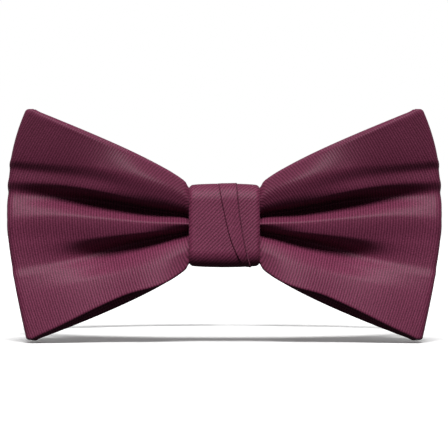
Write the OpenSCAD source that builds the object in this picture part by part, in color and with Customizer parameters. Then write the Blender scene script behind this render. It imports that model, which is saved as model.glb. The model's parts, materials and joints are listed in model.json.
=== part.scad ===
// Pre-tied bow tie on an adjustable neck band, fastened by a hook and eye at the nape.
// The origin is the centre of the neck loop, +Z points up the neck and -Y to the front.

/* [Bow] */
// Width of the bow from tip to tip
bow_width = 120; // [96:1:144]
// Height of the bow between its corners
bow_height = 64.6; // [52:0.2:78]
// How far each side edge bows out past its corners
side_bulge = 6.4; // [0:0.2:9]
// Thickness of one panel, which is a satin tube round its interlining
panel_thickness = 1.5; // [1.2:0.05:1.9]
// Thickness of the satin of the bows
satin_thickness = 0.4; // [0.25:0.05:0.45]
// How far the pleats stand forward and back where the bow is gathered
gather_depth = 2.6; // [1.5:0.1:3.2]
// Height of the bow where it is gathered under the knot
gather_height = 18.6; // [14:0.2:24]
// How much deeper the front pleats get half way out
pleat_swell = 1.1; // [0:0.1:2]
// Width over the fold at the tip of a wing
tip_fold = 2.4; // [2.1:0.1:4]

/* [Knot] */
// Width of the knot across the front
knot_width = 19.5; // [15:0.5:26]
// Thickness of the knot wrap
wrap_thickness = 1; // [0.6:0.1:1.5]
// Thickness of the liner inside the knot wrap
liner_thickness = 0.3; // [0.2:0.05:0.6]
// Thickness of the binding thread
thread_size = 0.45; // [0.3:0.05:0.6]
// Number of turns of the binding thread
thread_turns = 6; // [3:1:8]
// Thickness of the slanting pleat over the knot
pleat_thickness = 0.8; // [0.4:0.1:1.5]

/* [Neck band] */
// Radius of the collar that the band goes round
neck_radius = 60; // [50:0.5:72]
// Width of the neck band
band_width = 18; // [14:0.5:22]
// Thickness of the neck band
band_thickness = 1.2; // [0.8:0.1:1.5]

/* [Fittings] */
// Thickness of the wire that the band is looped round
wire_size = 1.8; // [1.4:0.1:2.2]
// Thickness of the plate and the bars of the fittings
plate_thickness = 1; // [0.8:0.1:1.3]
// Distance between the two upright wires of the eye
eye_length = 11.2; // [10:0.2:14]
// Width of the tongue of the hook
tongue_width = 9; // [6:0.5:13]
// Distance of the slider from the middle of the nape, in degrees round the neck
slider_angle = 45; // [42:1:60]
// How far the slider can travel along the band, in degrees round the neck
slider_travel = 55; // [20:1:60]

/* [Hidden] */
$fn = 72;
clearance = 0.05;
wing = bow_width / 2;
gather_half = gather_height / 2;
panel_pitch = panel_thickness + 0.15;
interlining_thickness = panel_thickness - 2 * satin_thickness - 5 * clearance;
edge_pleat = -0.1;
columns = 12;

// Depths are measured forward from the front of the neck.
wrap_back = 0.4;
liner_back = wrap_back + wrap_thickness + clearance;
band_back = liner_back + liner_thickness + 2 * clearance;
thread_back = band_back + band_thickness + 2 * clearance;
stack_back = thread_back + thread_size + clearance;
rear_panel = stack_back + panel_thickness / 2 + gather_depth;
stack_front = rear_panel + 3 * panel_pitch + gather_depth + panel_thickness / 2;
thread_front = stack_front + clearance + thread_size;
liner_front = thread_front + clearance + liner_thickness;
wrap_front = liner_front + clearance + wrap_thickness;
thread_half = gather_half + clearance + thread_size;
liner_half = max(thread_half, band_width / 2 + 0.7) + clearance + liner_thickness;
wrap_half = liner_half + clearance + wrap_thickness;

// The knot is well rounded in front and nearly square behind, where the flat band lies in it.
liner_round = 3.35;
liner_round_back = liner_thickness + 0.7;
wrap_round = liner_round + clearance + wrap_thickness;
wrap_round_back = liner_round_back + clearance + wrap_thickness;

// The doubled stretch of the band stands off the neck by the slider's inner bars.
band_half = band_width / 2;
band_out = neck_radius + band_thickness;
bar_in = neck_radius + 0.5;
raised_in = bar_in + plate_thickness + 0.2;
raised_out = raised_in + band_thickness;
return_in = raised_out + 0.2;
return_out = return_in + band_thickness;
wire = wire_size / 2;
loop_bore = wire + clearance;
loop_out = loop_bore + band_thickness;
fitting_inner = band_half + 0.4;
fitting_half = fitting_inner + wire_size;
rail_half = fitting_inner + 1.2;

// Angles run round the neck from +X, so the nape is at 90.
nape = 90;
eye_wire_x = 10.6;
eye_wire_y = sqrt(pow(neck_radius + loop_out + 0.15, 2) - pow(eye_wire_x, 2));
eye_end_x = eye_wire_x - eye_length;
plate_in = eye_wire_y + wire + 0.5;
plate_out = plate_in + plate_thickness;
hook_wire_x = eye_end_x - 11.8;
hook_wire_y = plate_in + plate_thickness - wire - 0.5;
hook_angle = atan2(hook_wire_y, hook_wire_x);
hook_radius = norm([hook_wire_x, hook_wire_y]);
eye_angle = atan2(eye_wire_y, eye_wire_x);
eye_radius = norm([eye_wire_x, eye_wire_y]);
flex_angle = hook_angle + 6.8;
flex_gap = 0.3;
slider_at = nape + slider_angle;
raised_end = slider_at + slider_travel + 9;
ramp_end = raised_end + 7;
centre_bar = 0.6;
centre_bar_radius = return_in + centre_bar + band_thickness;
jog_x = knot_width / 2 + 0.9;
jog_angle = 17.5;
lap_angle = 0.4;
inset = 0.04;
fold_length = 7.4;
fold_angle = asin((fold_length - 0.4) / eye_radius);
seam_angle = asin(18.5 / eye_radius);
reach = wing - panel_thickness / 2;

function smooth(x, a, b) = let (t = min(1, max(0, (x - a) / (b - a)))) t * t * (3 - 2 * t);

// Pleats across a panel: three ridges and two valleys, with edges that curl back a little.
function pleat(v) = abs(v) < 2 / 3
    ? cos(540 * v)
    : 1 - (1 - edge_pleat) * pow(3 * abs(v) - 2, 2);

// Half the height of a panel at a distance x from the middle. It is gathered under the knot and flares outside it.
flare_start = (knot_width / 2 + 0.3) / (1 - side_bulge / wing);
function flare(x) = min(1, max(0, (x - flare_start) / (wing - flare_start)));
function half_height(x) = gather_half + (bow_height / 2 - gather_half) * pow(flare(x), 0.72);

// Depth of the pleats of the front panel and of the three panels behind it, from the middle, 0, to the tip, 1.
function front_depth(e) = (gather_depth + pleat_swell * sin(180 * smooth(e, 0.15, 0.8)))
    * (1 - 0.9 * smooth(e, 0.45, 1));
function rear_depth(e) = gather_depth * (1 - 0.92 * smooth(e, 0.12, 0.5));
function open_by(e) = panel_pitch + (tip_fold - panel_pitch) * smooth(e, 0.3, 0.9);

// Mean depth of the four panels, from the rear of the lower bow, 0, to the front of the upper one, 3.
function panel_at(n, e) =
    n == 0 ? rear_panel - 1.5 * e * e :
    n == 1 ? panel_at(0, e) + open_by(e) :
    n == 2 ? panel_at(1, e) + panel_pitch + 0.3 * smooth(e, 0.3, 0.9) :
    panel_at(2, e) + open_by(e) + max(0, front_depth(e) - rear_depth(e));

// Distances of the stations of a panel from the middle: one end, two under the knot and the rest outside it.
end_gap = 0.4;
function panel_stations(count, flat) = concat(
    [end_gap, 0.6 * flare_start],
    [for (i = [0:count - 2]) flare_start + (flat - flare_start) * i / (count - 2)]
);

// One half of a bow, from its end behind the middle, round the tip and back to the middle of the front.
// Each station is [distance from the middle, depth, outward normal across, outward normal forward, pleat depth].
function half_path(n, front_count, rear_count) =
    let (
        flat = reach - tip_fold / 2,
        middle = (panel_at(n, 1) + panel_at(n + 1, 1)) / 2,
        radius = (panel_at(n + 1, 1) - panel_at(n, 1)) / 2,
        tip_depth = rear_depth(1)
    )
    concat(
        [for (x = panel_stations(rear_count, flat)) let (e = x / flat)
            [x, panel_at(n, e), 0, -1, -rear_depth(e)]],
        [for (a = [144:-36:36]) [flat + radius * sin(a), middle + radius * cos(a), sin(a), cos(a), tip_depth * cos(a)]],
        [for (i = [front_count:-1:0]) let (x = i == 0 ? 0 : panel_stations(front_count, flat)[i], e = x / flat)
            [x, panel_at(n + 1, e), 0, 1, n == 2 ? front_depth(e) : rear_depth(e)]]
    );

function other_side(path) = [for (i = [len(path) - 2:-1:0]) let (s = path[i]) [-s[0], s[1], -s[2], s[3], s[4]]];

function whole_path(n, front_count, rear_count) =
    let (half = half_path(n, front_count, rear_count)) concat(half, other_side(half));

// A point of a bow: u runs from the lower edge, -1, to the upper edge, 1, and w from the middle of the panel outwards.
// Only the edge itself stands proud or moves in by the margin, along its last cell, so the pleats of all layers nest.
function bow_point(s, u, w, margin, proud) =
    let (
        half = half_height(abs(s[0])),
        edge = half + proud * sin(180 * flare(abs(s[0]))),
        near = half * (1 - 2 / columns),
        back = abs(u) == 1 ? margin / (edge - near) : 0,
        z = abs(u) == 1 ? u * (edge - margin) : u * half,
        full = abs(u) == 1 ? edge / half : abs(u),
        d = s[4] * (pleat(full) * (1 - back) + pleat(near / half) * back) + w,
        side = 1 - side_bulge / wing * pow(z / half, 2)
    )
    [(s[0] + s[2] * d) * side, -(neck_radius + s[1] + s[3] * d), z];

function section(s, thick, margin, proud) =
    concat(
        [for (k = [0:columns]) let (u = 2 * k / columns - 1)
            bow_point(s, u, thick / 2 * (1 - 0.5 * pow(u, 10)), margin, proud)],
        [for (k = [columns:-1:0]) let (u = 2 * k / columns - 1)
            bow_point(s, u, -thick / 2 * (1 - 0.5 * pow(u, 10)), margin, proud)]
    );

function grid(path, thick, margin, proud) = [for (s = path) each section(s, thick, margin, proud)];

// Two triangles for each cell between one station and the next, round a section of the given count.
// Cells are split along the flatter diagonal, so panels that face each other are split alike and stay apart.
function skin(points, count, first, flip) =
    [for (i = [0:len(points) / count - 2], j = [0:count - 1])
        let (
            m = i * count + j,
            n = i * count + (j + 1) % count,
            a = first + m,
            b = first + n,
            c = b + count,
            d = a + count,
            rise = points[n + count][2] - points[m][2],
            other_rise = points[m + count][2] - points[n][2],
            split = abs(rise) < abs(other_rise)
                ? [[a, b, c], [a, c, d]]
                : [[a, b, d], [b, c, d]]
        )
        each (flip ? [for (f = split) [f[2], f[1], f[0]]] : split)];

function rim(count, outer, inner, flip) =
    [for (j = [0:count - 1])
        let (
            a = outer + j,
            b = outer + (j + 1) % count,
            c = inner + (j + 1) % count,
            d = inner + j
        )
        each (flip ? [[c, b, a], [d, c, a]] : [[a, b, c], [a, c, d]])];

function end_cap(first, flip) =
    [for (k = [0:columns - 1])
        let (
            a = first + k,
            b = first + k + 1,
            c = first + 2 * columns - k,
            d = first + 2 * columns + 1 - k
        )
        each (flip ? [[c, b, a], [d, c, a]] : [[a, b, c], [a, c, d]])];

// A satin tube along a path, open at its two ends.
module satin_tube(path, proud) {
    count = 2 * columns + 2;
    inner = len(path) * count;
    last = inner - count;
    outside = grid(path, panel_thickness, 0, proud);
    inside = grid(path, panel_thickness - 2 * satin_thickness, satin_thickness, proud);
    polyhedron(
        points = concat(outside, inside),
        faces = concat(
            skin(outside, count, 0, true),
            skin(inside, count, inner, false),
            rim(count, 0, inner, false),
            rim(count, last, inner + last, true)
        )
    );
}

// The interlining inside a satin tube.
module interlining(path, proud) {
    count = 2 * columns + 2;
    outside = grid(path, interlining_thickness, satin_thickness + 0.15, proud);
    polyhedron(
        points = outside,
        faces = concat(
            skin(outside, count, 0, true),
            end_cap(0, false),
            end_cap((len(path) - 1) * count, true)
        )
    );
}

// Short threads that join the two ends of a tube behind the middle.
module end_tacks(n) {
    for (z = [-0.6:0.4:0.6])
        translate([0, -(neck_radius + panel_at(n, 0) + rear_depth(0) * pleat(z)), z * gather_half])
            rotate([0, 90, 0]) cylinder(d = 0.3, h = 0.6, center = true, $fn = 24);
}

// A box with one corner radius in front and another behind.
module rounded_box(half_y, half_z, r_front, r_back) {
    for (corner = [[-1, r_front], [1, r_back]])
        let (side = corner[0], r = corner[1]) {
            translate([side * half_y / 2, 0]) square([half_y, 2 * (half_z - r)], center = true);
            translate([side * (half_y - r) / 2, 0]) square([half_y - r, 2 * half_z], center = true);
            for (sz = [-1, 1])
                translate([side * (half_y - r), sz * (half_z - r)]) circle(r = r);
        }
}

// A rounded ring round the gathered middle, between two depths, as wide as the width across the front.
module ring_round_middle(back, front, half_z, thick, r_front, r_back, width) {
    translate([0, -(neck_radius + (back + front) / 2), 0])
        rotate([90, 0, 90])
            linear_extrude(height = width, center = true)
                difference() {
                    rounded_box((front - back) / 2, half_z, r_front, r_back);
                    rounded_box((front - back) / 2 - thick, half_z - thick, r_front - thick, r_back - thick);
                }
}

// An arc of flat strip round the neck, between two radii and two angles.
module arc_strip(r_in, r_out, from, to, width) {
    rotate_extrude(angle = to - from, start = from, $fn = 180)
        translate([r_in, -width / 2]) square([r_out - r_in, width]);
}

function polar(r, a) = [r * cos(a), r * sin(a)];

// A straight length of strip between the ends of two arcs or bars.
module strip_link(a_in, a_out, b_in, b_out, width) {
    linear_extrude(height = width, center = true) polygon([a_in, a_out, b_out, b_in]);
}

// A place on the neck loop, with local x outwards and local y round the neck.
module at(angle, radius) {
    rotate([0, 0, angle]) translate([radius, 0, 0]) children();
}

// The end of the band folded round a wire. Local y points along the band, away from the wire, to its end at length.
module band_fold(toward, length, centre, r_in, r_out, width) {
    cylinder(r = loop_out, h = width, center = true);
    linear_extrude(height = width, center = true)
        polygon([
            [-loop_out + 0.3, 0],
            [sqrt(r_in * r_in - length * length) - centre, toward * length],
            [sqrt(r_out * r_out - length * length) - centre, toward * length],
            [loop_out - 0.3, 0]
        ]);
}

module upper_bow_satin() {
    color([0.42, 0.18, 0.27]) satin_tube(whole_path(2, 15, 9), 0);
}

module upper_bow_interlining() {
    color([0.9, 0.88, 0.84]) interlining(whole_path(2, 15, 9), 0);
}

module upper_bow_end_tacks() {
    color([0.3, 0.1, 0.18]) end_tacks(2);
}

module lower_bow_satin() {
    color([0.38, 0.15, 0.24]) satin_tube(whole_path(0, 9, 9), 0.9);
}

module lower_bow_interlining() {
    color([0.9, 0.88, 0.84]) interlining(whole_path(0, 9, 9), 0.9);
}

module lower_bow_end_tacks() {
    color([0.3, 0.1, 0.18]) end_tacks(0);
}

module gather_thread() {
    pitch = thread_size * 2;
    color([0.3, 0.1, 0.18])
        for (i = [0:thread_turns - 1])
            translate([(i - (thread_turns - 1) / 2) * pitch, 0, 0])
                ring_round_middle(thread_back, thread_front, thread_half, thread_size, 3, 3, thread_size);
}

module knot_liner() {
    color([0.9, 0.88, 0.84])
        ring_round_middle(liner_back, liner_front, liner_half, liner_thickness, liner_round, liner_round_back, knot_width - 1.5);
}

module knot_wrap() {
    color([0.45, 0.2, 0.3])
        ring_round_middle(wrap_back, wrap_front, wrap_half, wrap_thickness, wrap_round, wrap_round_back, knot_width);
}

// The slanting pleat crosses the front of the knot and narrows downwards.
module knot_pleat() {
    top = [-0.154 * knot_width, 0.19 * knot_width];
    foot = [0.27 * knot_width, 0.36 * knot_width];
    over = wrap_half + 2 * pleat_thickness;
    middle = -(neck_radius + (wrap_back + wrap_front) / 2);
    color([0.47, 0.22, 0.31])
        intersection() {
            ring_round_middle(
                wrap_back - pleat_thickness - clearance, wrap_front + pleat_thickness + clearance,
                wrap_half + pleat_thickness + clearance, pleat_thickness,
                wrap_round + clearance + pleat_thickness, wrap_round_back + clearance + pleat_thickness, knot_width
            );
            translate([0, middle, 0]) rotate([90, 0, 0])
                linear_extrude(height = 2 * wrap_front)
                    polygon([[top[0], over], [top[1], over], [foot[1], -over], [foot[0], -over]]);
        }
}

// Hand stitches close the wrap behind the knot.
module knot_closing_stitches() {
    color([0.3, 0.1, 0.18])
        for (i = [-3:3])
            translate([1.5, -(neck_radius + wrap_back), i * wrap_half / 5])
                rotate([0, 90, 20]) cylinder(d = 0.35, h = 1.8, center = true, $fn = 24);
}

// One strip from the fold at the eye, through the knot, to the bend beside the hook.
module neck_band() {
    front_in = -(neck_radius + band_back);
    front_out = front_in - band_thickness;
    color([0.4, 0.16, 0.25])
        difference() {
            union() {
                arc_strip(neck_radius, band_out, -nape + jog_angle - lap_angle, eye_angle - fold_angle + 0.15, band_width);
                translate([0, (front_in + front_out) / 2, 0])
                    cube([2 * jog_x + 0.4, band_thickness, band_width], center = true);
                for (side = [1, -1])
                    strip_link([side * jog_x, front_in - inset], [side * jog_x, front_out + inset],
                        polar(neck_radius + inset, -nape + side * jog_angle),
                        polar(band_out - inset, -nape + side * jog_angle), band_width);
                arc_strip(neck_radius, band_out, ramp_end - lap_angle, 270 - jog_angle + lap_angle, band_width);
                strip_link(polar(neck_radius + inset, ramp_end), polar(band_out - inset, ramp_end),
                    polar(raised_in + inset, raised_end), polar(raised_out - inset, raised_end), band_width);
                arc_strip(raised_in, raised_out, flex_angle + flex_gap, raised_end + lap_angle, band_width);
                arc_strip(band_out - 0.3, band_out + band_thickness, eye_angle - seam_angle, eye_angle - fold_angle - 0.15, band_width);
                at(eye_angle, eye_radius)
                    band_fold(-1, fold_length, eye_radius, neck_radius + 0.2, band_out + band_thickness - 0.2, band_width);
            }
            at(eye_angle, eye_radius) cylinder(r = loop_bore, h = 2 * band_width, center = true);
        }
}

// A column of stitches through a fold: each has a bar on the outer face and two legs.
module stitch_column(angle, r_in, r_out, count) {
    reach = band_half - 1.5;
    pitch = 2 * reach / count;
    at(angle, r_out)
        for (i = [0:count - 1])
            translate([0, 0, -reach + (i + 0.5) * pitch]) {
                translate([0.1, 0, 0]) cylinder(d = 0.35, h = 0.7 * pitch, center = true, $fn = 24);
                for (s = [-1, 1])
                    translate([0.1, 0, s * (0.35 * pitch - 0.175)])
                        rotate([0, -90, 0]) cylinder(d = 0.3, h = r_out - r_in, $fn = 24);
            }
}

module eye_fold_stitches() {
    color([0.3, 0.1, 0.18])
        for (a = [eye_angle - seam_angle + 1.5, eye_angle - fold_angle - 1.5])
            stitch_column(a, neck_radius + 0.3, band_out + band_thickness, 9);
}

// A closed rectangle of round wire.
module eye() {
    side = fitting_inner + wire;
    color([0.75, 0.76, 0.78])
        translate([0, eye_wire_y, 0]) {
            for (x = [eye_wire_x, eye_end_x])
                translate([x, 0, 0]) cylinder(r = wire, h = 2 * side, center = true);
            for (z = [-side, side])
                translate([eye_end_x, 0, z]) rotate([0, 90, 0]) cylinder(r = wire, h = eye_length);
            for (x = [eye_wire_x, eye_end_x], z = [-side, side])
                translate([x, 0, z]) sphere(r = wire);
        }
}

// The outer layer of the doubled band, between the bend beside the hook and the slider.
module band_return() {
    color([0.42, 0.18, 0.27])
        arc_strip(return_in, return_out, flex_angle + flex_gap, slider_at - 1.9, band_width);
}

// Two inner bars and a raised centre bar between side rails.
module slider_frame() {
    color([0.75, 0.76, 0.78]) {
        for (a = [-5.8, 5.8])
            arc_strip(bar_in, bar_in + plate_thickness, slider_at + a - 0.8, slider_at + a + 0.8, 2 * rail_half);
        for (s = [-1, 1])
            translate([0, 0, s * (fitting_inner + rail_half) / 2]) {
                arc_strip(bar_in, return_in + 0.2, slider_at - 6.6, slider_at + 6.6, rail_half - fitting_inner);
                arc_strip(return_in, centre_bar_radius + 1.2, slider_at - 1.6, slider_at + 1.6, rail_half - fitting_inner);
            }
        at(slider_at, centre_bar_radius) cylinder(r = centre_bar, h = 2 * rail_half, center = true);
    }
}

// The end of the band folded round the slider's centre bar.
module slider_fold() {
    color([0.42, 0.18, 0.27])
        difference() {
            union() {
                at(slider_at, centre_bar_radius)
                    cylinder(r = centre_bar + clearance + band_thickness, h = band_width, center = true);
                arc_strip(return_out + clearance, return_out + clearance + band_thickness,
                    slider_at - 8, slider_at, band_width);
            }
            at(slider_at, centre_bar_radius)
                cylinder(r = centre_bar + clearance, h = 2 * band_width, center = true);
        }
}

module slider_fold_stitches() {
    outer = return_out + clearance + band_thickness;
    color([0.3, 0.1, 0.18])
        for (a = [slider_at - 7, slider_at - 4])
            stitch_column(a, return_out + 3 * clearance, outer, 9);
}

// The doubled end of the band, looped through the hook.
module band_hook_loop() {
    length = hook_radius * sin(flex_angle - flex_gap - hook_angle);
    color([0.42, 0.18, 0.27])
        difference() {
            at(hook_angle, hook_radius)
                band_fold(1, length, hook_radius, raised_in, return_out, band_width);
            at(hook_angle, hook_radius) cylinder(r = loop_bore, h = 2 * band_width, center = true);
        }
}

// A wire for the band, a plate that narrows to a tongue, and a tab that drops through the eye.
module hook() {
    plate_start = hook_wire_x + loop_out + 0.6;
    shoulder = eye_end_x - wire - 1;
    tab = eye_end_x + wire + 0.9;
    side = fitting_inner + wire;
    half_tongue = tongue_width / 2;
    tab_tip = neck_radius + 0.3;
    color([0.75, 0.76, 0.78]) {
        translate([hook_wire_x, hook_wire_y, 0]) cylinder(r = wire, h = 2 * fitting_half, center = true);
        for (s = [-1, 1])
            translate([hook_wire_x, plate_out - 1.5, s * side - wire]) cube([plate_start + 0.5 - hook_wire_x, 1.5, wire_size]);
        translate([0, plate_out, 0]) rotate([90, 0, 0])
            linear_extrude(height = plate_thickness)
                polygon([
                    [plate_start, -fitting_half],
                    [plate_start, fitting_half],
                    [plate_start + 2.2, fitting_half],
                    [shoulder, half_tongue],
                    [tab + plate_thickness, half_tongue],
                    [tab + plate_thickness, -half_tongue],
                    [shoulder, -half_tongue],
                    [plate_start + 2.2, -fitting_half]
                ]);
        translate([tab, tab_tip, -half_tongue]) cube([plate_thickness, plate_out - tab_tip, tongue_width]);
    }
}

upper_bow_satin();
upper_bow_interlining();
upper_bow_end_tacks();
lower_bow_satin();
lower_bow_interlining();
lower_bow_end_tacks();
gather_thread();
knot_liner();
knot_wrap();
knot_pleat();
knot_closing_stitches();
neck_band();
eye_fold_stitches();
eye();
band_return();
slider_frame();
slider_fold();
slider_fold_stitches();
band_hook_loop();
hook();
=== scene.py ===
import json
import math

import bmesh
import bpy
import numpy as np
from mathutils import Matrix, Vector


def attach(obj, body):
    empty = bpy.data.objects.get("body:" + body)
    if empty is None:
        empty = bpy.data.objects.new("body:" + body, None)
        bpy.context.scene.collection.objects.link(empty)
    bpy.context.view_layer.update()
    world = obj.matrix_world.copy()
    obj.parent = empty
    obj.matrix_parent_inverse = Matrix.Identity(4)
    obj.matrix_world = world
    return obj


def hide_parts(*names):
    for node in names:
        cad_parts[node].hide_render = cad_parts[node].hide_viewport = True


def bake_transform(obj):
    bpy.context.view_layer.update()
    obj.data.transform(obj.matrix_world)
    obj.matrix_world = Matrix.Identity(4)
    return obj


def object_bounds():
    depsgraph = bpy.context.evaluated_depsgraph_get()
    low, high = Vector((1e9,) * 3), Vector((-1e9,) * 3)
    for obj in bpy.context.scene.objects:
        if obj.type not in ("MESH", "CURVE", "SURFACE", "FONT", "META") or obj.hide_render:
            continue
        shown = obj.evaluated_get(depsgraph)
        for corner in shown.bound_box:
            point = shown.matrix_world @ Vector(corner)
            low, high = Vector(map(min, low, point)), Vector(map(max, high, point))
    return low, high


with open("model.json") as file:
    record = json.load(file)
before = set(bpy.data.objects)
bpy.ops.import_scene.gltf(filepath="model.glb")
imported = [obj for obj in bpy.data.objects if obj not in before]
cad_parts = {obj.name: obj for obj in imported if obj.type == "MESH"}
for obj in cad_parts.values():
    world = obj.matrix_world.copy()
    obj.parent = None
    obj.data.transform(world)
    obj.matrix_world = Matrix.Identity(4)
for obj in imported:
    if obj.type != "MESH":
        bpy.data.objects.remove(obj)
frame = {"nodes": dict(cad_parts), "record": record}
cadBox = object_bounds()
mm = 0.001
pi = math.pi

view = {
    "distance": 900 * mm,      # from the wings to the camera
    "frameWidth": 123.6 * mm,  # what the picture takes in at the wings
    "wingPlane": -72 * mm,
    "aimX": -0.1 * mm,
    "aimZ": 0.4 * mm,
}


def makeCamera():
    data = bpy.data.cameras.new("camera")
    data.sensor_width = 36
    data.lens = 36 * view["distance"] / view["frameWidth"]
    data.clip_start = 0.01
    data.clip_end = 50
    camera = bpy.data.objects.new("camera", data)
    camera.location = (view["aimX"], view["wingPlane"] - view["distance"], view["aimZ"])
    camera.rotation_euler = (pi / 2, 0, 0)
    bpy.context.scene.collection.objects.link(camera)
    bpy.context.scene.camera = camera


light = {
    "keyStrength": 5.2,
    "keyElevation": 46,       # degrees above the horizon, in front
    "keySoftness": 24,        # degrees across
    "backStrength": 1.4,
    "backElevation": 14,
    "backTurn": 6,           # degrees from straight behind
    "skyAbove": 0.42,
    "skyBelow": 0.06,
}


def makeLight():
    # Each sun shines from (cos e sin t, cos e cos t, sin e), with e its elevation and t its turn from behind
    for name, turn in (("key", 180), ("back", light["backTurn"])):
        data = bpy.data.lights.new(name, "SUN")
        data.energy = light[name + "Strength"]
        data.angle = math.radians(light["keySoftness"])
        lamp = bpy.data.objects.new(name, data)
        lamp.visible_glossy = name == "key"
        rise, turn = math.radians(light[name + "Elevation"]), math.radians(turn)
        toLamp = Vector((math.cos(rise) * math.sin(turn), math.cos(rise) * math.cos(turn), math.sin(rise)))
        lamp.rotation_euler = toLamp.to_track_quat("Z", "Y").to_euler()
        bpy.context.scene.collection.objects.link(lamp)

    world = bpy.data.worlds.new("studio")
    bpy.context.scene.world = world
    world.use_nodes = True
    nodes, links = world.node_tree.nodes, world.node_tree.links
    nodes.clear()
    place = nodes.new("ShaderNodeTexCoord")
    split = nodes.new("ShaderNodeSeparateXYZ")
    links.new(place.outputs["Generated"], split.inputs[0])
    ramp = nodes.new("ShaderNodeMapRange")
    ramp.inputs["From Min"].default_value = -0.4
    ramp.inputs["From Max"].default_value = 0.8
    ramp.inputs["To Min"].default_value = light["skyBelow"]
    ramp.inputs["To Max"].default_value = light["skyAbove"]
    links.new(split.outputs["Z"], ramp.inputs["Value"])
    sky = nodes.new("ShaderNodeBackground")
    links.new(ramp.outputs["Result"], sky.inputs["Strength"])
    paper = nodes.new("ShaderNodeBackground")
    paper.inputs["Color"].default_value = (1, 1, 1, 1)
    path = nodes.new("ShaderNodeLightPath")
    mix = nodes.new("ShaderNodeMixShader")
    links.new(path.outputs["Is Camera Ray"], mix.inputs[0])
    links.new(sky.outputs[0], mix.inputs[1])
    links.new(paper.outputs[0], mix.inputs[2])
    out = nodes.new("ShaderNodeOutputWorld")
    links.new(mix.outputs[0], out.inputs["Surface"])
    scene = bpy.context.scene
    scene.view_settings.view_transform = "Standard"
    scene.view_settings.look = "None"


floorSpec = {"gap": 0.5 * mm, "reach": 8.0, "colour": (0.9, 0.9, 0.9, 1)}


def makeFloor():
    size = floorSpec["reach"]
    level = cadBox[0][2] - floorSpec["gap"]
    mesh = bpy.data.meshes.new("floor")
    corners = [(-size, -size, level), (size, -size, level), (size, size, level), (-size, size, level)]
    mesh.from_pydata(corners, [], [(0, 1, 2, 3)])
    floor = bpy.data.objects.new("floor", mesh)
    bpy.context.scene.collection.objects.link(floor)
    floor.visible_diffuse = False
    floor.visible_glossy = False
    material = bpy.data.materials.new("paperFloor")
    material.use_nodes = True
    shader = material.node_tree.nodes["Principled BSDF"]
    shader.inputs["Base Color"].default_value = floorSpec["colour"]
    shader.inputs["Roughness"].default_value = 0.9
    mesh.materials.append(material)


makeCamera()
makeLight()
makeFloor()
print("camera, light and floor are set")


def newMaterial(name):
    material = bpy.data.materials.new(name)
    material.use_nodes = True
    tree = material.node_tree
    tree.nodes.clear()
    out = tree.nodes.new("ShaderNodeOutputMaterial")
    shader = tree.nodes.new("ShaderNodeBsdfPrincipled")
    tree.links.new(shader.outputs[0], out.inputs["Surface"])
    return material, tree, shader


def mathNode(tree, operation, first, second=None):
    node = tree.nodes.new("ShaderNodeMath")
    node.operation = operation
    for slot, value in ((0, first), (1, second)):
        if value is None:
            continue
        if isinstance(value, (int, float)):
            node.inputs[slot].default_value = value
        else:
            tree.links.new(value, node.inputs[slot])
    return node.outputs[0]


def noiseNode(tree, vector, scale, detail=2.0, rough=0.5):
    node = tree.nodes.new("ShaderNodeTexNoise")
    node.inputs["Scale"].default_value = scale
    node.inputs["Detail"].default_value = detail
    node.inputs["Roughness"].default_value = rough
    tree.links.new(vector, node.inputs["Vector"])
    return node.outputs["Fac"]


def mappedNode(tree, vector, scale):
    node = tree.nodes.new("ShaderNodeMapping")
    node.inputs["Scale"].default_value = scale
    tree.links.new(vector, node.inputs["Vector"])
    return node.outputs[0]


def mixColour(tree, amount, first, second):
    node = tree.nodes.new("ShaderNodeMix")
    node.data_type = "RGBA"
    tree.links.new(amount, node.inputs["Factor"])
    for slot, value in (("A", first), ("B", second)):
        socket = [s for s in node.inputs if s.name == slot and s.type == "RGBA"][0]
        if isinstance(value, tuple):
            socket.default_value = value
        else:
            tree.links.new(value, socket)
    return [s for s in node.outputs if s.type == "RGBA"][0]


satinLook = {
    # painted sheen and shade: the greyish crest colour paints the threads' sheen and the near-black groove colour
    # paints shade, over the weave's own rib pattern
    "groove": (0.032, 0.0008, 0.0080, 1),
    "crest": (0.236, 0.044, 0.104, 1),
    "ribPitch": 0.72 * mm,
    "ribDepth": 0.07 * mm,
    "upperShadeTone": 0.74,        # painted shade: how much darker the cloth is painted towards the upper edge of a wing, where the lobes turn from the light
    "roughness": 0.58,
    "specular": 0.22,
    "sheen": 0.1,
}


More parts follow.
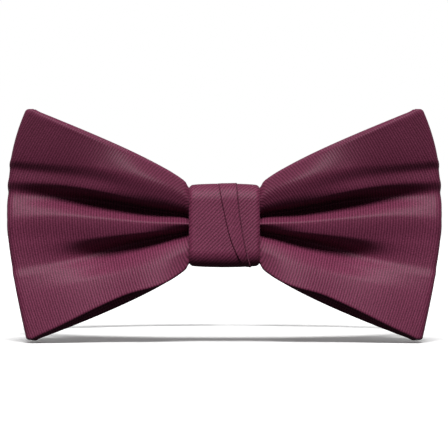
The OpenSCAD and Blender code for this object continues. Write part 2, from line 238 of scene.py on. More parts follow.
def makeSatin(name, upperShadeTone=1.0, pitch=1.0, edgeHighlightTone=0.0, look=satinLook):
    # Ribs are sin(2 pi u / pitch) with a wobble, and threads lie along v in each rib. The tone falls evenly from 1
    # at v = -5 mm to upperShadeTone at v = 25 mm, a painted shade, is raised to 1.55, and rises by edgeHighlightTone
    # along the upper edge, a painted highlight. Its near-black groove end is painted shade and its greyish crest end
    # painted sheen.
    material, tree, shader = newMaterial(name)
    uv = tree.nodes.new("ShaderNodeUVMap")
    uv.uv_map = "cloth"
    split = tree.nodes.new("ShaderNodeSeparateXYZ")
    tree.links.new(uv.outputs[0], split.inputs[0])
    wobble = noiseNode(tree, mappedNode(tree, uv.outputs[0], (1100, 420, 1)), 1.0, 2.0)
    across = mathNode(tree, "MULTIPLY", split.outputs["X"], 2 * pi / (pitch * look["ribPitch"]))
    across = mathNode(tree, "ADD", across, mathNode(tree, "MULTIPLY", wobble, 3.2))
    wave = mathNode(tree, "SINE", across)
    rib = mathNode(tree, "MULTIPLY_ADD", wave, 0.5)
    tree.nodes[-1].inputs[2].default_value = 0.5
    thread = noiseNode(tree, mappedNode(tree, uv.outputs[0], (1900, 3100, 1)), 1.0, 2.0, 0.7)
    thread = mathNode(tree, "MULTIPLY_ADD", thread, 2.2)
    tree.nodes[-1].inputs[2].default_value = -0.6
    cloudy = noiseNode(tree, mappedNode(tree, uv.outputs[0], (60, 90, 1)), 1.0, 3.0)
    tone = mathNode(tree, "MULTIPLY", rib, 0.34)
    tone = mathNode(tree, "ADD", tone, mathNode(tree, "MULTIPLY", thread, 0.46))
    tone = mathNode(tree, "ADD", tone, mathNode(tree, "MULTIPLY", cloudy, 0.2))
    # painted shade: the tone darkens towards the upper edge of a wing, where the lobes turn from the light
    fall = tree.nodes.new("ShaderNodeMapRange")
    fall.inputs["From Min"].default_value = -5 * mm
    fall.inputs["From Max"].default_value = 25 * mm
    fall.inputs["To Min"].default_value = 1.0
    fall.inputs["To Max"].default_value = upperShadeTone
    tree.links.new(split.outputs["Y"], fall.inputs["Value"])
    tone = mathNode(tree, "MULTIPLY", tone, fall.outputs["Result"])
    tone = mathNode(tree, "POWER", mathNode(tree, "MAXIMUM", tone, 0.0), 1.55)
    # painted highlight: a lighter band along the upper edge of a wing, where the edge catches the light
    edgeHighlight = tree.nodes.new("ShaderNodeMapRange")
    edgeHighlight.inputs["From Min"].default_value = 31.0 * mm
    edgeHighlight.inputs["From Max"].default_value = 31.8 * mm
    edgeHighlight.inputs["To Max"].default_value = edgeHighlightTone
    tree.links.new(split.outputs["Y"], edgeHighlight.inputs["Value"])
    tone = mathNode(tree, "ADD", tone, edgeHighlight.outputs["Result"])
    # tone mixes the near-black groove colour, painted shade, with the greyish crest colour, painted sheen
    colour = mixColour(tree, tone, look["groove"], look["crest"])
    tree.links.new(colour, shader.inputs["Base Color"])
    height = mathNode(tree, "ADD", rib, mathNode(tree, "MULTIPLY", thread, 0.45))
    bump = tree.nodes.new("ShaderNodeBump")
    bump.inputs["Strength"].default_value = 0.7
    bump.inputs["Distance"].default_value = look["ribDepth"]
    tree.links.new(height, bump.inputs["Height"])
    tree.links.new(bump.outputs[0], shader.inputs["Normal"])
    shader.inputs["Roughness"].default_value = look["roughness"]
    shader.inputs["Specular IOR Level"].default_value = look["specular"]
    shader.inputs["Sheen Weight"].default_value = look["sheen"]
    shader.inputs["Sheen Roughness"].default_value = 0.45
    shader.inputs["Sheen Tint"].default_value = (0.85, 0.35, 0.5, 1)
    return material


def makeThread():
    # Twisted thread: fine noise on Object coordinates, a little longer along Z.
    material, tree, shader = newMaterial("threadPlum")
    place = tree.nodes.new("ShaderNodeTexCoord")
    fine = noiseNode(tree, mappedNode(tree, place.outputs["Object"], (9000, 9000, 5000)), 1.0)
    colour = mixColour(tree, fine, (0.03, 0.003, 0.01, 1), (0.14, 0.02, 0.05, 1))
    tree.links.new(colour, shader.inputs["Base Color"])
    shader.inputs["Roughness"].default_value = 0.55
    return material


def makeInterlining():
    # Undyed open weave: two sine waves at right angles.
    material, tree, shader = newMaterial("interliningCloth")
    place = tree.nodes.new("ShaderNodeTexCoord")
    split = tree.nodes.new("ShaderNodeSeparateXYZ")
    tree.links.new(place.outputs["Object"], split.inputs[0])
    warp = mathNode(tree, "SINE", mathNode(tree, "MULTIPLY", split.outputs["X"], 9000))
    weft = mathNode(tree, "SINE", mathNode(tree, "MULTIPLY", split.outputs["Z"], 9000))
    weave = mathNode(tree, "MULTIPLY_ADD", mathNode(tree, "MULTIPLY", warp, weft), 0.5)
    tree.nodes[-1].inputs[2].default_value = 0.5
    colour = mixColour(tree, weave, (0.62, 0.58, 0.5, 1), (0.82, 0.79, 0.72, 1))
    tree.links.new(colour, shader.inputs["Base Color"])
    shader.inputs["Roughness"].default_value = 0.9
    return material


def makeMetal():
    # Nickel plate: brushed along Z, with faint marks from wear.
    material, tree, shader = newMaterial("nickelPlate")
    place = tree.nodes.new("ShaderNodeTexCoord")
    brush = noiseNode(tree, mappedNode(tree, place.outputs["Object"], (6000, 6000, 300)), 1.0, 3.0)
    marks = noiseNode(tree, mappedNode(tree, place.outputs["Object"], (400, 400, 400)), 1.0, 4.0)
    colour = mixColour(tree, marks, (0.5, 0.49, 0.47, 1), (0.74, 0.73, 0.71, 1))
    tree.links.new(colour, shader.inputs["Base Color"])
    rough = mathNode(tree, "MULTIPLY_ADD", brush, 0.2)
    tree.nodes[-1].inputs[2].default_value = 0.2
    tree.links.new(rough, shader.inputs["Roughness"])
    bump = tree.nodes.new("ShaderNodeBump")
    bump.inputs["Strength"].default_value = 0.15
    bump.inputs["Distance"].default_value = 0.02 * mm
    tree.links.new(brush, bump.inputs["Height"])
    tree.links.new(bump.outputs[0], shader.inputs["Normal"])
    shader.inputs["Metallic"].default_value = 1.0
    return material


satin = makeSatin("satinPlum", pitch=1.05)
# the wings get the painted shade towards their upper edges and the painted highlight along them
wingSatin = makeSatin("wingSatinPlum", satinLook["upperShadeTone"], 1.05, 0.12)
threadPlum = makeThread()
interliningCloth = makeInterlining()
nickelPlate = makeMetal()
print("materials are made")


def smooth(x, low, high):
    # t * t * (3 - 2 t), with t from 0 at low to 1 at high
    t = np.clip((x - low) / (high - low), 0, 1)
    return t * t * (3 - 2 * t)


def gridMesh(name, points, uv, material, closedU=False, closedV=False):
    # points[i, j] in metres and uv[i, j]; a closed direction joins its last row to its first,
    # and uv then has one more row, so the pattern does not fold back. Faces are turned so the volume is positive.
    rows, columns = points.shape[:2]
    i, j = np.meshgrid(
        np.arange(rows if closedU else rows - 1),
        np.arange(columns if closedV else columns - 1), indexing="ij")
    iNext, jNext = (i + 1) % rows, (j + 1) % columns
    quads = np.stack([i * columns + j, iNext * columns + j, iNext * columns + jNext, i * columns + jNext], -1)
    corners = np.stack([uv[i, j], uv[i + 1, j], uv[i + 1, j + 1], uv[i, j + 1]], -2)
    quads = quads.reshape(-1, 4)
    corners = corners.reshape(-1, 4, 2)
    a, b, c, d = (points.reshape(-1, 3)[quads[:, k]] for k in range(4))
    if np.einsum("ij,ij->", a, np.cross(b, c) + np.cross(c, d)) < 0:
        quads, corners = quads[:, ::-1], corners[:, ::-1]
    mesh = bpy.data.meshes.new(name)
    mesh.from_pydata(points.reshape(-1, 3).tolist(), [], quads.tolist())
    layer = mesh.uv_layers.new(name="cloth")
    layer.data.foreach_set("uv", np.ascontiguousarray(corners, np.float32).ravel())
    mesh.polygons.foreach_set("use_smooth", np.ones(len(quads), bool))
    mesh.materials.append(material)
    mesh.update()
    piece = bpy.data.objects.new(name, mesh)
    bpy.context.scene.collection.objects.link(piece)
    return piece


def mergeDoubles(piece, distance=0.002 * mm):
    work = bmesh.new()
    work.from_mesh(piece.data)
    bmesh.ops.remove_doubles(work, verts=work.verts, dist=distance)
    work.to_mesh(piece.data)
    work.free()


bow = {
    "halfWidth": 60.0,
    "knotHalf": 9.75,
    "gatherHalf": 9.15,      # half height of the bow inside the knot
    "panelHalf": 0.62,       # half the thickness of one panel
    "panelPitch": 1.65,
    "tipFold": 2.4,
    "neckRadius": 60.0,
    "flat": (66 * mm, 246 * mm),
    "flatArea": 14200 * mm * mm,  # narrower towards the knot, so less than the whole rectangle
}


# Control points of the front panel, from the lower edge up: the bottom lobe, the lower valley, the middle ridge,
# the upper valley and the top lobe. Shares of the half height and depths in front of the neck, in millimetres.
pleats = {
    "stations": (0, 0.2, 0.5, 0.72, 1),
    "shares": (
        (-1, -0.62, -0.34, -0.17, -0.06, 0.04, 0.13, 0.23, 0.38, 0.50, 0.68, 1),
        (-1, -0.62, -0.42, -0.22, -0.10, 0.04, 0.12, 0.235, 0.35, 0.50, 0.70, 1),
        (-1, -0.60, -0.46, -0.31, -0.13, 0.08, 0.15, 0.285, 0.40, 0.52, 0.68, 1),
        (-1, -0.60, -0.45, -0.35, -0.15, 0.10, 0.16, 0.28, 0.41, 0.50, 0.60, 1),
        (-1, -0.62, -0.45, -0.36, -0.15, 0.05, 0.14, 0.28, 0.38, 0.47, 0.55, 1),
    ),
    "depths": (
        (13.6, 14.5, 13.2, 9.35, 12.6, 14.5, 12.8, 9.35, 13.0, 13.9, 14.5, 13.4),
        (17.2, 15.4, 12.7, 7.0, 14.4, 15.1, 12.2, 6.9, 15.4, 17.4, 18.2, 12.2),
        (13.4, 11.8, 8.4, 5.2, 11.2, 12.2, 10.4, 5.0, 13.6, 14.3, 16.0, 16.4),
        (13.0, 12.3, 11.0, 9.6, 11.0, 12.6, 11.6, 7.8, 12.6, 13.1, 15.0, 17.8),
        (11.0, 11.1, 11.0, 10.4, 10.8, 11.7, 11.2, 10.2, 11.5, 11.8, 13.6, 16.6),
    ),
    "rear": (13.5, 12.8, 12.0, 13.0, 16.0),
}


def halfHeight(x):
    # 10.9 + 21.4 t^0.78 + 0.7 t^4 outside the knot, drawn in to the gather inside it; t counts from the knot, 0, to the
    # corners, 1, and x is drawn in first as much as the side edge is at that height
    rough = 10.9 + 21.4 * np.clip((x - 9.6) / 44.4, 0, 1.13) ** 0.78
    drawnIn = x * (1 - 0.097 * np.clip(rough / 32.3, 0, 1.02) ** 2.7)
    t = np.clip((drawnIn - 9.6) / 44.4, 0, 1.2)
    outside = 10.9 + 21.4 * t ** 0.78 + 0.7 * t ** 4
    return bow["gatherHalf"] + (outside - bow["gatherHalf"]) * smooth(x, 8.4, 11.0)


def sideEdge(z):
    # 60 - 5.8 (z / 32.3)^2.7 above the middle and 60 - 5.4 (z / 32)^1.4 below, rounded at the corners
    above = 60 - 5.8 * np.clip(np.abs(z) / 32.3, 0, 1.1) ** 2.7
    below = 60 - 5.4 * np.clip(np.abs(z) / 32.0, 0, 1.1) ** 1.4
    edge = np.where(z > 0, above, below)
    return edge - 0.35 * smooth(np.abs(z), 31.4, 33.2)


def outward(x):
    # 0 at the knot and 1 at the tip
    return np.clip((x - bow["knotHalf"]) / (bow["halfWidth"] - bow["knotHalf"]), 0, 1)


def along(e, rows):
    # Each column of the rows at e, averaged over e - 0.08 to e + 0.08 so that it turns smoothly at the stations
    taps = (-0.08, -0.04, 0, 0.04, 0.08)
    return [sum(np.interp(e + tap, pleats["stations"], column) for tap in taps) / 5 for column in zip(*rows)]


def frontDepth(x, z):
    # Cubic curve through the pleat's control points: between two of them it is the Hermite curve of their
    # depths and slopes, and a slope is the harmonic mean of those of the two neighbouring chords
    e, v = outward(x), z / halfHeight(x)
    e, v = e + 0 * v, v + 0 * e
    share, depth = along(e, pleats["shares"]), along(e, pleats["depths"])
    last = len(share) - 1
    chord = [(depth[k + 1] - depth[k]) / (share[k + 1] - share[k]) for k in range(last)]
    slope = [chord[0]]
    for k in range(1, last):
        both = chord[k - 1] * chord[k]
        slope.append(np.where(both > 0, 2 * both / (chord[k - 1] + chord[k] + 1e-9), 0))
    slope.append(chord[-1])
    result = depth[0] + slope[0] * (v - share[0])
    for k in range(last):
        width = share[k + 1] - share[k]
        t = (v - share[k]) / width
        curve = depth[k] * (1 + 2 * t) * (1 - t) ** 2 + width * slope[k] * t * (1 - t) ** 2 \
            + depth[k + 1] * t * t * (3 - 2 * t) + width * slope[k + 1] * t * t * (t - 1)
        result = np.where(t >= 0, curve if k < last - 1 else np.where(t <= 1, curve, depth[last] + slope[last] * (v - share[last])), result)
    return result


def openBy(e):
    return bow["panelPitch"] + (bow["tipFold"] - bow["panelPitch"]) * smooth(e, 0.3, 0.9)


def panelDepth(panel, x, z):
    # Panel 3 is the front. The next one is openBy behind the lowest of it nearby, and no further forward than a
    # flat rear: (a + b - sqrt((a - b)^2 + 1)) / 2. The other two follow at even distances.
    if panel == 3:
        return frontDepth(x, z)
    e = outward(x)
    near = np.minimum(frontDepth(x, z), np.minimum(frontDepth(x, z - 0.7), frontDepth(x, z + 0.7))) - openBy(e)
    flat = np.interp(e, pleats["stations"], pleats["rear"])
    depth = (near + flat - np.sqrt((near - flat) ** 2 + 1)) / 2
    if panel <= 1:
        depth = depth - bow["panelPitch"] - 0.3 * smooth(e, 0.3, 0.9)
    if panel == 0:
        depth = depth - openBy(e)
    return depth


def panelEdges(panel, x):
    # How far the upper and lower edge of each panel stay inside the outline
    half = halfHeight(x)
    e = outward(x)
    spread = smooth(x, 15, 30) * (1 - 0.7 * smooth(e, 0.45, 1.0))
    insideTop = (0.25, 0.0, 0.5, 0.9)[panel]
    insideFoot = (0.0, 0.7, 1.5, 2.25)[panel]
    return half - insideTop * spread, -(half - insideFoot * spread)


def faceColumns(count):
    # -1 to 1, a little closer together at the edges
    t = np.linspace(-1, 1, count)
    return 0.85 * t + 0.15 * np.sin(t * pi / 2)


def ribbonSection(outer, inner, arc, half):
    # Round a flat tube: outer face upwards, over the upper edge, inner face down, under the lower edge.
    # Each column is (share of the height, extra height, offset along the normal).
    turn = np.linspace(0, pi, arc + 2)[1:-1]
    up = faceColumns(outer)
    down = -faceColumns(inner)
    share = np.concatenate([up, np.ones(arc), down, -np.ones(arc)])
    extra = np.concatenate([np.zeros(outer), half * np.sin(turn), np.zeros(inner), -half * np.sin(turn)])
    offset = np.concatenate([np.full(outer, half), half * np.cos(turn), np.full(inner, -half), -half * np.cos(turn)])
    return share, extra, offset


def ribbonStations(frontCount, rearCount, reach):
    # Right round one bow: (x, turn at a tip, side); turn is 0 on the front panel and pi on the rear one
    flat = reach - bow["tipFold"] / 2 - bow["panelHalf"]
    front = flat * faceColumns(frontCount)
    rear = flat * faceColumns(rearCount)[::-1]
    turn = np.linspace(0, pi, 9)[1:-1]
    x = np.concatenate([front, np.full(7, flat), rear, np.full(7, -flat)])
    angle = np.concatenate([np.zeros(frontCount), turn, np.full(rearCount, pi), turn[::-1]])
    side = np.concatenate([np.sign(front), np.ones(7), np.sign(rear), -np.ones(7)])
    return x, angle, side


# Lean of the ribs, as rise over run: level, lowLean more for each mm below the middle, and topLean more above topStart
weave = {
    "level": -0.03,
    "lowLean": 0.0042,
    "topLean": 0.34,
    "topStart": 11.0,        # mm up a 66 mm high strip
    "topBlend": 3.0,
}


def ribShift(strip):
    # Integral of level + lowLean * min(v, 0) + topLean * (1 + tanh((v - topStart) / topBlend)) / 2
    blend = weave["topBlend"]
    top = (strip + blend * np.log(np.cosh((strip - weave["topStart"]) / blend))) / 2
    return weave["level"] * strip + weave["lowLean"] * np.minimum(strip, 0) ** 2 / 2 + weave["topLean"] * top


def ribbonGrid(rearPanel, stations, section, half, inset):
    # point = (x + side * r * sin(turn), middle + r * cos(turn)), moved along the normal by the offset
    x, angle, side = (a[:, None] for a in stations)
    share, extra, offset = (a[None, :] for a in section)
    s = np.abs(x)
    frontTop, frontFoot = panelEdges(rearPanel + 1, s)
    rearTop, rearFoot = panelEdges(rearPanel, s)
    toFront = 0.5 + 0.5 * np.cos(angle)
    top = rearTop + (frontTop - rearTop) * toFront - bow["panelHalf"]
    foot = rearFoot + (frontFoot - rearFoot) * toFront + bow["panelHalf"]
    z = np.clip((top + foot) / 2 + share * (top - foot) / 2 + extra, foot - half + inset, top + half - inset)
    fore = panelDepth(rearPanel + 1, s, z)
    rear = panelDepth(rearPanel, s, z)
    middle = (fore + rear) / 2
    radius = (fore - rear) / 2
    depth = middle + (radius + offset) * np.cos(angle)
    across = x + side * (radius + offset) * np.sin(angle)
    across = across * sideEdge(z) / bow["halfWidth"]
    points = np.stack([across, -(bow["neckRadius"] + depth), z + 0 * across], -1) * mm
    tip = np.max(s)
    turned = (bow["tipFold"] / 2 + half) * angle
    around = np.where(angle < pi, s + turned, 2 * tip + turned - s)
    strip = 33 * z / halfHeight(s)
    ribs = around + ribShift(strip)
    uv = np.stack([ribs + 0 * strip, strip + 0 * ribs], -1) * mm
    uv = np.concatenate([uv, uv[:1]], 0)
    uv = np.concatenate([uv, uv[:, :1]], 1)
    return points, uv


def makeRibbon(name, rearPanel, reach, half, counts, inset, material):
    frontCount, rearCount, outer, inner, arc = counts
    section = ribbonSection(outer, inner, arc, half)
    stations = ribbonStations(frontCount, rearCount, reach)
    points, uv = ribbonGrid(rearPanel, stations, section, half, inset)
    piece = gridMesh(name, points, uv, material, closedU=True, closedV=True)
    mergeDoubles(piece)
    return piece


upperBow = makeRibbon("upperBowSatin", 2, 60.0, bow["panelHalf"], (201, 101, 141, 91, 5), 0, wingSatin)
lowerBow = makeRibbon("lowerBowSatin", 0, 59.4, bow["panelHalf"], (101, 101, 91, 61, 5), 0, wingSatin)
upperFill = makeRibbon("upperBowInterlining", 2, 60.0, 0.2, (201, 101, 141, 91, 3), 0.4, interliningCloth)
lowerFill = makeRibbon("lowerBowInterlining", 0, 59.4, 0.2, (101, 101, 91, 61, 3), 0.4, interliningCloth)
for piece, node in (
        (upperBow, "upper_bow_satin"), (lowerBow, "lower_bow_satin"),
        (upperFill, "upper_bow_interlining"), (lowerFill, "lower_bow_interlining")):
    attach(piece, "bow")
    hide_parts(node)
print("bows are made")

knot = {
    "halfWidth": 9.75,
    "back": 0.4,
    "front": 17.2,
    "halfHeight": 11.2,
    "thickness": 1.0,
    "roundFront": 4.4,
    "roundBack": 2.1,
    "crown": 0.35,
    "pleatLeft": 0.6,        # how far the slanting pleat stands proud at its left edge
    "pleatRight": 1.05,
    "pleatSink": 0.12,       # how far its underside lies inside the wrap
    "lipRound": 0.42,
}


def loopOutline(count, grow=0.0):
    # A box in depth and height with round corners, as evenly spaced points from the middle of the back,
    # over the top and down the front. Returns positions and outward normals.
    back, front = knot["back"], knot["front"]
    half = knot["halfHeight"]
    rBack, rFront = knot["roundBack"], knot["roundFront"]
    quarter = np.linspace(0, pi / 2, 40)
    rise = np.linspace(0, half - rBack, 30)[:-1]
    parts = [np.stack([np.full(29, back), rise, np.full(29, -1.0), np.zeros(29)], 1)]
    parts.append(np.stack([back + rBack - rBack * np.cos(quarter), half - rBack + rBack * np.sin(quarter),
                           -np.cos(quarter), np.sin(quarter)], 1))
    run = np.linspace(back + rBack, front - rFront, 40)[1:-1]
    parts.append(np.stack([run, np.full(38, half), np.zeros(38), np.ones(38)], 1))
    parts.append(np.stack([front - rFront + rFront * np.sin(quarter), half - rFront + rFront * np.cos(quarter),
                           np.sin(quarter), np.cos(quarter)], 1))
    drop = np.linspace(half - rFront, 0, 30)[1:]
    parts.append(np.stack([np.full(29, front), drop, np.ones(29), np.zeros(29)], 1))
    upper = np.concatenate(parts)
    lower = upper[::-1][1:-1] * np.array([1, -1, 1, -1])
    ring = np.concatenate([upper, lower])
    closed = np.concatenate([ring, ring[:1]])
    length = np.concatenate([[0], np.cumsum(np.hypot(*np.diff(closed[:, :2], axis=0).T))])
    at = np.linspace(0, length[-1], count, endpoint=False)
    out = np.stack([np.interp(at, length, closed[:, k]) for k in range(4)], 1)
    out[:, 2:] /= np.hypot(out[:, 2], out[:, 3])[:, None]
    return out, at


def knotSurface(x, ring, offset):
    # ring point + normal * (crown (1 - (x / w)^2) + offset), with the corners drawn in towards the sides
    across = np.clip(np.abs(x) / knot["halfWidth"], 0, 1)
    crown = knot["crown"] * (1 - across ** 2) - 0.45 * smooth(across, 0.86, 1.0) ** 2
    depth = ring[..., 0] + ring[..., 2] * (crown + offset)
    height = ring[..., 1] + ring[..., 3] * (crown + offset)
    height = height * (1 - 0.006 * smooth(across, 0.7, 1.0))
    return np.stack([x + 0 * depth, -(bow["neckRadius"] + depth), height], -1) * mm


def makeKnotWrap():
    ring, length = loopOutline(260)
    half, thick = knot["halfWidth"], knot["thickness"]
    turn = np.linspace(0, pi, 9)[1:-1]
    edge = thick / 2
    face = np.linspace(-half + edge, half - edge, 61)
    x = np.concatenate([face, half - edge + edge * np.sin(turn), face[::-1], -half + edge - edge * np.sin(turn)])
    offset = np.concatenate([np.zeros(61), -edge + edge * np.cos(turn), np.full(61, -thick), -edge - edge * np.cos(turn)])
    points = knotSurface(x[None, :], ring[:, None, :], offset[None, :])
    ribs = (x[None, :] + length[:, None]) * 0.7071
    uv = np.stack([ribs, (length[:, None] - x[None, :]) * 0.7071], -1) * mm
    uv = np.concatenate([uv, uv[-1:] + (uv[-1:] - uv[-2:-1])], 0)
    uv = np.concatenate([uv, uv[:, :1]], 1)
    return gridMesh("knotWrapSatin", points, uv, satin, closedU=True, closedV=True)


def pleatEdges(height):
    # left = -1.7 + 4.6 t + 3 t^6 and right = 3.5 + 2.4 t + 1.4 t^3, with t from 0 at the top to 1 at the foot
    t = np.clip((11.0 - height) / 22.0, -0.02, 1.03)
    t = np.maximum(t, 0)
    return -1.7 + 4.6 * t + 3.0 * t ** 6, 3.5 + 2.4 * t + 1.4 * t ** 3


def makeKnotPleat():
    ring, length = loopOutline(420)
    middle = (knot["back"] + knot["front"]) / 2
    forward = ring[:, 0] > middle - 3.0
    ring, length = ring[forward], length[forward]
    left, right = pleatEdges(ring[:, 1])
    # Each edge is half a turn of a lip: out by lipRound * cos a from its own middle, up by (1 + sin a) / 2
    turn = np.linspace(-pi / 2, pi / 2, 9)
    rise, tuck = (1 + np.sin(turn)) / 2, knot["lipRound"] * (1 - np.cos(turn))
    share = np.concatenate([np.zeros(9), np.linspace(0, 1, 33)[1:-1], np.ones(9), np.linspace(1, 0, 17)[1:-1]])
    lift = np.concatenate([rise, np.ones(31), rise[::-1], np.zeros(15)])
    nudge = np.concatenate([tuck, np.zeros(31), -tuck[::-1], np.zeros(15)])
    sink = knot["pleatSink"]
    proud = knot["pleatLeft"] + (knot["pleatRight"] - knot["pleatLeft"]) * share ** 2
    x = left[:, None] + share[None, :] * (right - left)[:, None] + nudge[None, :]
    ends = smooth(np.minimum(np.arange(len(length)), np.arange(len(length))[::-1]), 0, 10)[:, None]
    facing = 0.3 + 0.7 * smooth(ring[:, 2], 0.1, 0.9)[:, None]
    offset = (lift * (proud + sink))[None, :] * ends * facing - sink
    points = knotSurface(x, ring[:, None, :], offset)
    ribs = (0.83 * x + 0.56 * length[:, None])
    uv = np.stack([ribs, length[:, None] - x], -1) * mm
    uv = np.concatenate([uv, uv[:, :1]], 1)
    piece = gridMesh("knotPleatSatin", points, uv, satin, closedV=True)
    return piece


knotWrap = makeKnotWrap()
knotPleat = makeKnotPleat()
for piece, node in ((knotWrap, "knot_wrap"), (knotPleat, "knot_pleat")):
    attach(piece, "bow")
    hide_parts(node)
print("knot is made")

band = {
    "halfWidth": 9.0,
    "halfThick": 0.6,
    "neckMid": 60.6,         # radius of the middle of the cloth where the band lies on the neck
    "seamMid": 61.8,         # of the end sewn over it beside the eye
    "raisedMid": 62.3,       # of the inner layer of the doubled stretch
    "returnMid": 63.7,       # of the outer layer of the doubled stretch
    "foldEndMid": 64.95,     # of the end sewn down beside the slider
    "frontMid": 62.45,
    "knotExit": 10.65,
    "eyeX": 10.6, "eyeY": 61.39,
    "hookX": -12.4, "hookY": 62.39,
    "wireTurn": 1.55,        # radius of the middle of the cloth round a wire
    "barTurn": 1.25,
    "sliderAt": 135.0,       # degrees round the neck from +X
    "sliderBar": 64.9,
    "flexAt": 108.04,
    "bendAt": 109.5,         # where the doubled stretch is joined to the loop at the hook
    "foldAt": 133.1,
}


def polar(radius, degrees):
    # (r cos a, r sin a)
    a = np.radians(np.atleast_1d(degrees).astype(float))
    return np.stack([radius * np.cos(a), radius * np.sin(a)], 1)


def roundWire(x, y, radius, turns):
    # Points round a wire; a turn of 0 is away from the neck and 90 is on round the neck
    heading = math.degrees(math.atan2(y, x))
    return np.array([x, y]) + polar(radius, heading + np.array(turns, float))


def splinePath(points, step):
    # Catmull-Rom curve through the points, with stations evenly along its length and closer at both ends
    p = np.concatenate([2 * points[:1] - points[1:2], points, 2 * points[-1:] - points[-2:-1]])
    t = np.linspace(0, 1, 13)[:-1][None, :, None]
    a, b, c, d = (p[k:len(p) - 3 + k][:, None, :] for k in range(4))
    curve = 0.5 * (2 * b + (c - a) * t + (2 * a - 5 * b + 4 * c - d) * t ** 2 + (3 * b - a - 3 * c + d) * t ** 3)
    curve = np.concatenate([curve.reshape(-1, 2), points[-1:]])
    length = np.concatenate([[0], np.cumsum(np.hypot(*np.diff(curve, axis=0).T))])
    total = length[-1]
    even = np.linspace(0, total, int(total / step) + 2)[1:-1]
    ends = np.array([0, 0.01, 0.05, 0.12, 0.22])
    at = np.concatenate([ends, even[(even > 0.3) & (even < total - 0.3)], total - ends[::-1]])
    return np.stack([np.interp(at, length, curve[:, k]) for k in (0, 1)], 1), at


def strapSection():
    # Round a flat strip: outer face upwards, upper edge, inner face down, lower edge, as (height, offset)
    wide, thick = band["halfWidth"], band["halfThick"]
    face = np.linspace(-(wide - thick), wide - thick, 25)
    turn = np.linspace(0, pi, 9)[1:-1]
    height = np.concatenate([face, wide - thick + thick * np.sin(turn), face[::-1], thick - wide - thick * np.sin(turn)])
    offset = np.concatenate([np.full(25, thick), thick * np.cos(turn), np.full(25, -thick), -thick * np.cos(turn)])
    return height, offset


def makeStrap(name, corners, node, step=0.7, outside=1):
    # point = path + normal * offset * sqrt(1 - (1 - d / r)^2), with d the distance to the nearer end and r its
    # rounding; outside is 1 where the normal to the left of the path points away from the neck, and else -1
    path, along = splinePath(np.concatenate(corners), step)
    tangent = np.gradient(path, along, axis=0)
    tangent /= np.hypot(tangent[:, 0], tangent[:, 1])[:, None]
    normal = outside * np.stack([-tangent[:, 1], tangent[:, 0]], 1)
    height, offset = strapSection()
    toEnd = np.clip(np.minimum(along, along[-1] - along) / 0.22, 0, 1)
    full = np.sqrt(1 - (1 - toEnd) ** 2)
    flat = path[:, None, :] + normal[:, None, :] * (offset[None, :] * full[:, None])[:, :, None]
    points = np.concatenate([flat, np.broadcast_to(height[None, :, None], flat.shape[:2] + (1,))], 2) * mm
    ribs = (along[:, None] + height[None, :]) * 0.7071
    uv = np.stack([ribs, (along[:, None] - height[None, :]) * 0.7071], -1) * mm
    uv = np.concatenate([uv, uv[:, :1]], 1)
    piece = gridMesh(name, points, uv, satin, closedV=True)
    mergeDoubles(piece)
    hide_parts(node)
    print(name, "is", round(float(along[-1]), 1), "mm long")
    return piece


def makeNeckBand():
    eye = (band["eyeX"], band["eyeY"], band["wireTurn"])
    k, front = band["knotExit"], -band["frontMid"]
    return makeStrap("neckBandSatin", [
        polar(band["seamMid"], [63.3, 66, 69, 72.6]), polar(62.15, 74.6), polar(62.95, 76.8), polar(63.65, 78.8),
        roundWire(*eye, [0, 30, 60, 90, 120, 150, 180]),
        polar(60.66, 77.6), polar(band["neckMid"], np.arange(74, -72, -4.0)), polar(band["neckMid"], -72.5),
        np.array([[k, front], [k - 1.5, front], [4, front], [-4, front], [1.5 - k, front], [-k, front]]),
        polar(band["neckMid"], np.arange(-107.5, -153, -4.0)), polar(band["neckMid"], [-154, -155]),
        polar(61.45, -157.5), polar(band["raisedMid"], [-160, -161]),
        polar(band["raisedMid"], np.arange(-165, -249, -4.0)), polar(band["raisedMid"], band["bendAt"] - 360),
    ], "neck_band")


def makeBandReturn():
    return makeStrap("bandReturnSatin", [
        polar(band["returnMid"], np.linspace(band["bendAt"], band["foldAt"], 9))], "band_return")


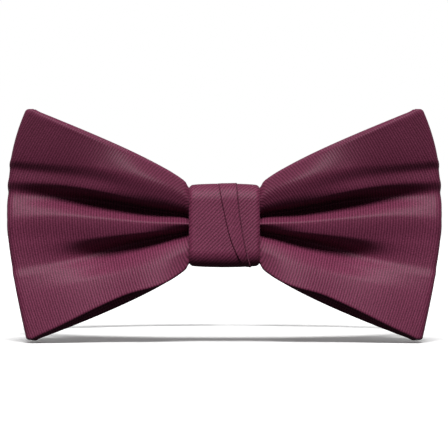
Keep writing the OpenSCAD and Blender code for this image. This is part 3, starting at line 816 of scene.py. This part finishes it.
def makeSliderFold():
    x, y = polar(band["sliderBar"], band["sliderAt"])[0]
    return makeStrap("sliderFoldSatin", [
        polar(band["returnMid"], [band["foldAt"], band["foldAt"] + 0.8]),
        roundWire(x, y, band["barTurn"], [180, 150, 120, 90, 60, 30, 0]),
        polar(65.95, 133.6), polar(65.3, 132.2), polar(band["foldEndMid"], [130.8, 129, 127.2]),
    ], "slider_fold", step=0.4)


def makeHookLoop():
    hook = (band["hookX"], band["hookY"], band["wireTurn"])
    return makeStrap("hookLoopSatin", [
        polar(band["raisedMid"], [band["bendAt"], band["bendAt"] - 1.5]), polar(62.17, 105.5), polar(62.08, 103.2),
        roundWire(*hook, [180, 210, 240, 270, 300, 330, 360]),
        polar(64.75, 103.8), polar(64.05, 106), polar(band["returnMid"], [band["bendAt"] - 1.5, band["bendAt"]]),
    ], "band_hook_loop", step=0.4)


neckBand = makeNeckBand()
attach(neckBand, "bow")
bandReturn = makeBandReturn()
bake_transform(bandReturn)
sliderFold = makeSliderFold()
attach(sliderFold, "slider")
hookLoop = makeHookLoop()
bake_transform(hookLoop)
print("band is made")

metal = {"softening": 0.14 * mm, "angle": 35}


def makeFitting(name, node):
    # The same shape as the CAD node, merged, with its sharp edges rounded over
    piece = bpy.data.objects.new(name, frame["nodes"][node].data.copy())
    piece.matrix_world = frame["nodes"][node].matrix_world
    bpy.context.scene.collection.objects.link(piece)
    mergeDoubles(piece, 0.001 * mm)
    soften = piece.modifiers.new("soften", "BEVEL")
    soften.width = metal["softening"]
    soften.segments = 3
    soften.limit_method = "ANGLE"
    soften.angle_limit = math.radians(metal["angle"])
    piece.data.materials.clear()
    piece.data.materials.append(nickelPlate)
    piece.data.polygons.foreach_set("use_smooth", np.ones(len(piece.data.polygons), bool))
    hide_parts(node)
    return piece


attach(makeFitting("sliderFrame", "slider_frame"), "slider")
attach(makeFitting("hookPlate", "hook"), "hook")
print("fittings are made")

finish = {"thread": threadPlum, "interlining": interliningCloth, "fittings": nickelPlate, "satin": satin}
slots = {row["node"]: row["material_slot"] for row in frame["record"]["subparts"]}
for node, obj in frame["nodes"].items():
    if not obj.hide_render:
        obj.data.materials.clear()
        obj.data.materials.append(finish[slots[node]])
